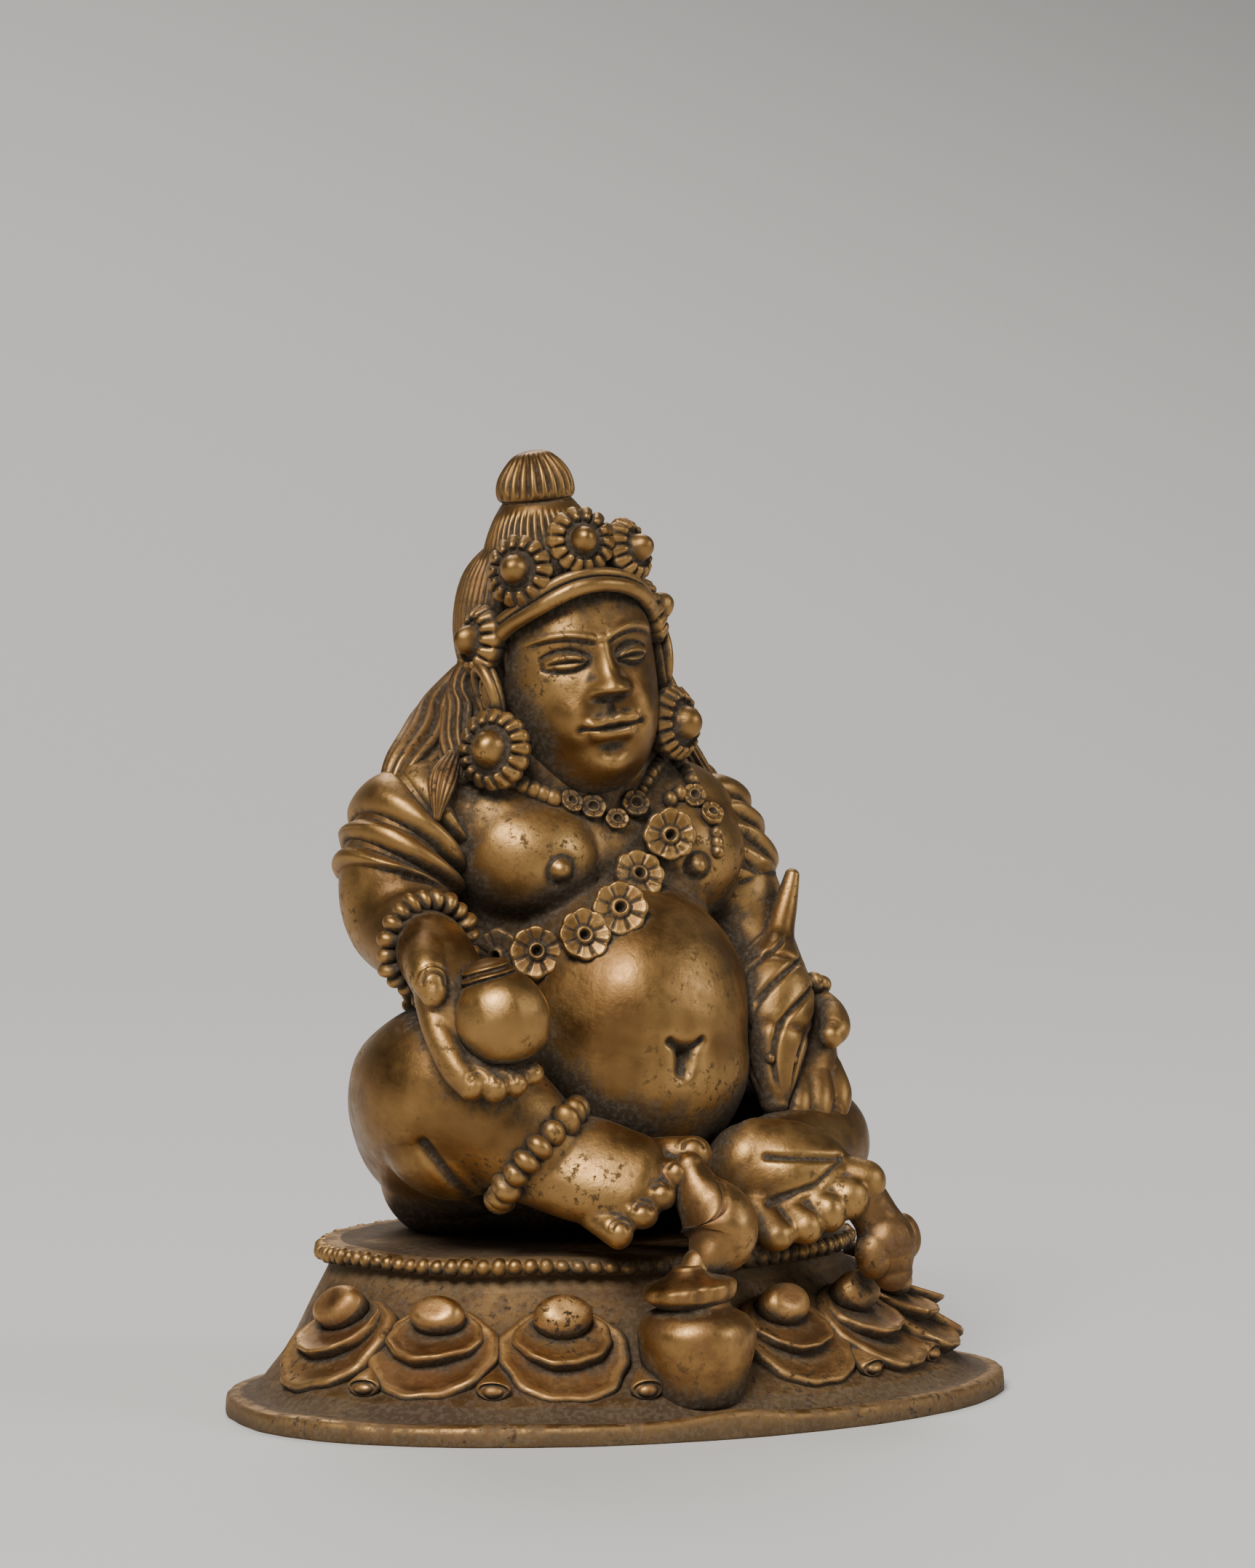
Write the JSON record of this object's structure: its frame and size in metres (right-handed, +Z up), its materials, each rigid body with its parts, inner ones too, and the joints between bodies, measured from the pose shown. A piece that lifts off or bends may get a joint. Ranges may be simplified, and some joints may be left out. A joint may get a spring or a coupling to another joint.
{
  "type": "jambhala statue",
  "caption": "Small cast brass seated jambhala statue on a lotus base, with fruit, mongoose, vase and conch.",
  "frame": {"origin": "middle of the footprint of the lotus base, on its flat underside", "axes": "+Z up, the figure faces -Y, +X is towards the figure's left hand"},
  "size_m": [0.0778, 0.0554, 0.09],
  "materials": {
    "worn_brass": "worn satin with dark, dusty hollows"
  },
  "bodies": {
    "root": {"jambhala_statue": "worn_brass"}
  },
  "joints": []
}
